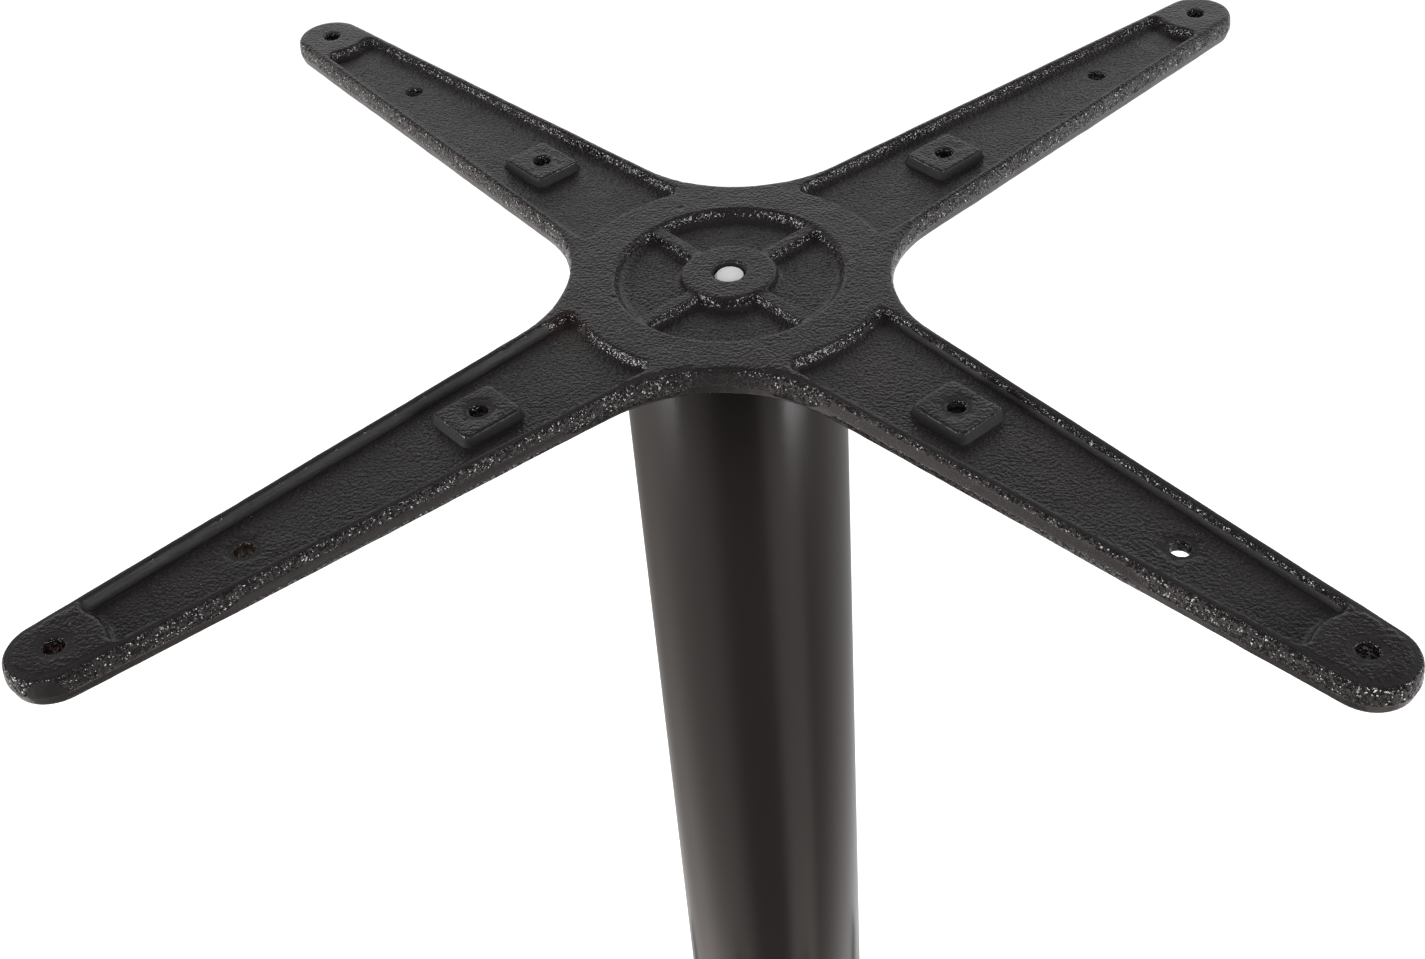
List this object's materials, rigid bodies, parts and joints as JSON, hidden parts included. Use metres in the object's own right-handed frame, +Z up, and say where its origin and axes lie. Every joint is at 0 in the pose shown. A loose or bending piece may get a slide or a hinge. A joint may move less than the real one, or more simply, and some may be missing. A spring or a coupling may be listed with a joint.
{
  "type": "pedestal table base",
  "caption": "Pedestal table base: cast star foot, tube column and a flat cast spider with pockets, raised pads and screw holes that carries a table top.",
  "frame": {"origin": "on the floor under the middle of the column, at the bottom centre of the whole base", "axes": "+Z up along the column; the arms of both stars stand on the diagonals between X and Y"},
  "size_m": [0.4044, 0.4044, 0.72],
  "materials": {
    "painted_casting": "sand cast iron under a thin black texture paint, semi-gloss",
    "painted_tube": "welded steel tube, smooth satin black powder coat",
    "zinc_steel": "bright zinc-plated steel",
    "black_nylon": "moulded black nylon"
  },
  "bodies": {
    "root": {"top_spider": "painted_casting", "column": "painted_tube", "base_star": "painted_casting", "tie_rod": "zinc_steel", "plate_washer": "zinc_steel", "spring_washer": "zinc_steel", "hex_nut": "zinc_steel"},
    "glide_1": {"glide_pad_1": "black_nylon", "glide_stud_1": "zinc_steel"},
    "glide_2": {"glide_pad_2": "black_nylon", "glide_stud_2": "zinc_steel"},
    "glide_3": {"glide_pad_3": "black_nylon", "glide_stud_3": "zinc_steel"},
    "glide_4": {"glide_pad_4": "black_nylon", "glide_stud_4": "zinc_steel"}
  },
  "joints": [
    {"name": "glide_screw_1", "type": "slide", "parent": "root", "child": "glide_1", "axis": [0, 0, -1], "range_m": [0, 0.01]},
    {"name": "glide_screw_2", "type": "slide", "parent": "root", "child": "glide_2", "axis": [0, 0, -1], "range_m": [0, 0.01]},
    {"name": "glide_screw_3", "type": "slide", "parent": "root", "child": "glide_3", "axis": [0, 0, -1], "range_m": [0, 0.01]},
    {"name": "glide_screw_4", "type": "slide", "parent": "root", "child": "glide_4", "axis": [0, 0, -1], "range_m": [0, 0.01]}
  ]
}
